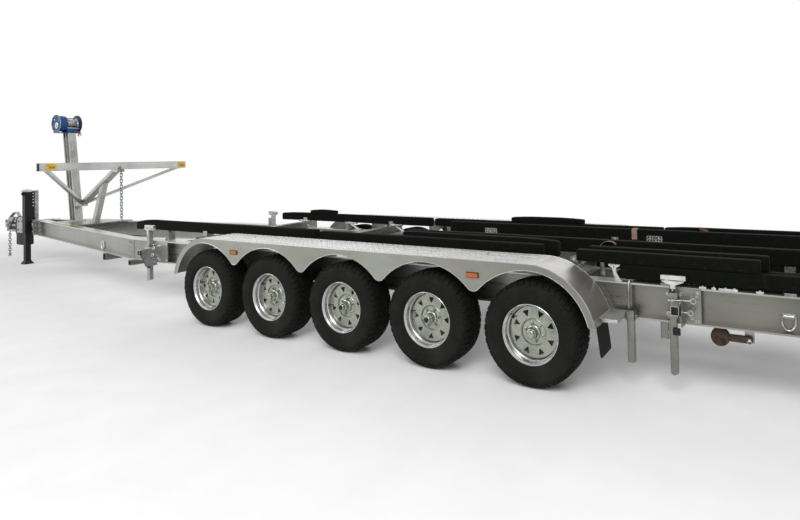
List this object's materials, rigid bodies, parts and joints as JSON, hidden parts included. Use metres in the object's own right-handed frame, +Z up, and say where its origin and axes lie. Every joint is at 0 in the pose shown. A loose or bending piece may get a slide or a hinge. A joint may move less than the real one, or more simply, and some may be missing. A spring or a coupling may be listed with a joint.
{
  "type": "boat trailer",
  "caption": "Long multi-axle aluminium boat trailer with carpeted bunks, A-shaped tongue, winch post with bow frame, and side jack.",
  "frame": {"origin": "on the ground, on the centreline, half way along the overall length", "axes": "+X forward to the coupler, +Y to the trailer's left, +Z up"},
  "size_m": [14.4, 2.528, 2.494],
  "materials": {
    "aluminium_frame": "mill finish, brushed and weathered",
    "galvanised_steel": "galvanised and zinc plated, dull with stains",
    "black_paint": "black enamel",
    "blue_paint": "blue powder coat",
    "tyre_rubber": "matt tread and sidewall",
    "black_rubber": "smooth sheet",
    "black_carpet": "ribbed marine carpet",
    "red_webbing": "woven webbing",
    "black_plastic": "moulded",
    "yellow_plastic": "moulded marker",
    "amber_plastic": "clear amber lens",
    "red_plastic": "red lens",
    "rusty_iron": "rusted cast foot on a black arm"
  },
  "bodies": {
    "trailer_frame": {"main_beam_left": "aluminium_frame", "main_beam_right": "aluminium_frame", "tongue_beam_left": "aluminium_frame", "tongue_beam_right": "aluminium_frame", "cross_members": "aluminium_frame", "drawbar": "galvanised_steel", "coupler": "galvanised_steel", "battery_box": "black_plastic", "safety_chain": "galvanised_steel", "jack_bracket": "galvanised_steel", "jack_tube": "black_paint", "winch_post": "aluminium_frame", "bow_frame": "aluminium_frame", "bow_chain": "galvanised_steel", "bar_markers": "yellow_plastic", "winch_frame": "blue_paint", "hook_strap": "red_webbing", "axle_tubes": "galvanised_steel", "swing_arms": "galvanised_steel", "fender_left": "aluminium_frame", "fender_right": "aluminium_frame", "fender_brackets": "aluminium_frame", "side_lamps": "amber_plastic", "mudflaps": "black_rubber", "guide_posts": "galvanised_steel", "post_clamps": "galvanised_steel", "bunks_left": "black_carpet", "bunks_right": "black_carpet", "bunk_brackets": "galvanised_steel", "tie_rings": "galvanised_steel", "tail_lamps": "red_plastic", "stabiliser_ears": "galvanised_steel"},
    "jack_inner_leg": {"jack_leg": "black_paint"},
    "winch_spool": {"winch_drum": "galvanised_steel"},
    "stabiliser_arm_left": {"stabiliser_left": "rusty_iron"},
    "stabiliser_arm_right": {"stabiliser_right": "rusty_iron"},
    "running_wheel_left_1": {"tyre_left_1": "tyre_rubber", "wheel_left_1": "galvanised_steel"},
    "running_wheel_left_2": {"tyre_left_2": "tyre_rubber", "wheel_left_2": "galvanised_steel"},
    "running_wheel_left_3": {"tyre_left_3": "tyre_rubber", "wheel_left_3": "galvanised_steel"},
    "running_wheel_left_4": {"tyre_left_4": "tyre_rubber", "wheel_left_4": "galvanised_steel"},
    "running_wheel_left_5": {"tyre_left_5": "tyre_rubber", "wheel_left_5": "galvanised_steel"},
    "running_wheel_right_1": {"tyre_right_1": "tyre_rubber", "wheel_right_1": "galvanised_steel"},
    "running_wheel_right_2": {"tyre_right_2": "tyre_rubber", "wheel_right_2": "galvanised_steel"},
    "running_wheel_right_3": {"tyre_right_3": "tyre_rubber", "wheel_right_3": "galvanised_steel"},
    "running_wheel_right_4": {"tyre_right_4": "tyre_rubber", "wheel_right_4": "galvanised_steel"},
    "running_wheel_right_5": {"tyre_right_5": "tyre_rubber", "wheel_right_5": "galvanised_steel"}
  },
  "joints": [
    {"name": "jack_raise", "type": "slide", "parent": "trailer_frame", "child": "jack_inner_leg", "axis": [0, 0, 1], "range_m": [0, 0.38]},
    {"name": "winch_turn", "type": "hinge", "parent": "trailer_frame", "child": "winch_spool", "pos_m": [5.05968, 0, 2.349], "axis": [0, 1, 0], "continuous": true},
    {"name": "stabiliser_left_drop", "type": "hinge", "parent": "trailer_frame", "child": "stabiliser_arm_left", "pos_m": [-5.232, 0.807, 0.42], "axis": [0, 1, 0], "range_deg": [0, 90]},
    {"name": "stabiliser_right_drop", "type": "hinge", "parent": "trailer_frame", "child": "stabiliser_arm_right", "pos_m": [-5.232, -0.807, 0.42], "axis": [0, 1, 0], "range_deg": [0, 90]},
    {"name": "wheel_left_1_turn", "type": "hinge", "parent": "trailer_frame", "child": "running_wheel_left_1", "pos_m": [-0.21, 1.22, 0.386], "axis": [0, 1, 0], "continuous": true},
    {"name": "wheel_left_2_turn", "type": "hinge", "parent": "trailer_frame", "child": "running_wheel_left_2", "pos_m": [-1.11, 1.22, 0.386], "axis": [0, 1, 0], "continuous": true},
    {"name": "wheel_left_3_turn", "type": "hinge", "parent": "trailer_frame", "child": "running_wheel_left_3", "pos_m": [-2.01, 1.22, 0.386], "axis": [0, 1, 0], "continuous": true},
    {"name": "wheel_left_4_turn", "type": "hinge", "parent": "trailer_frame", "child": "running_wheel_left_4", "pos_m": [-2.91, 1.22, 0.386], "axis": [0, 1, 0], "continuous": true},
    {"name": "wheel_left_5_turn", "type": "hinge", "parent": "trailer_frame", "child": "running_wheel_left_5", "pos_m": [-3.81, 1.22, 0.386], "axis": [0, 1, 0], "continuous": true},
    {"name": "wheel_right_1_turn", "type": "hinge", "parent": "trailer_frame", "child": "running_wheel_right_1", "pos_m": [-0.21, -1.22, 0.386], "axis": [0, 1, 0], "continuous": true},
    {"name": "wheel_right_2_turn", "type": "hinge", "parent": "trailer_frame", "child": "running_wheel_right_2", "pos_m": [-1.11, -1.22, 0.386], "axis": [0, 1, 0], "continuous": true},
    {"name": "wheel_right_3_turn", "type": "hinge", "parent": "trailer_frame", "child": "running_wheel_right_3", "pos_m": [-2.01, -1.22, 0.386], "axis": [0, 1, 0], "continuous": true},
    {"name": "wheel_right_4_turn", "type": "hinge", "parent": "trailer_frame", "child": "running_wheel_right_4", "pos_m": [-2.91, -1.22, 0.386], "axis": [0, 1, 0], "continuous": true},
    {"name": "wheel_right_5_turn", "type": "hinge", "parent": "trailer_frame", "child": "running_wheel_right_5", "pos_m": [-3.81, -1.22, 0.386], "axis": [0, 1, 0], "continuous": true}
  ]
}
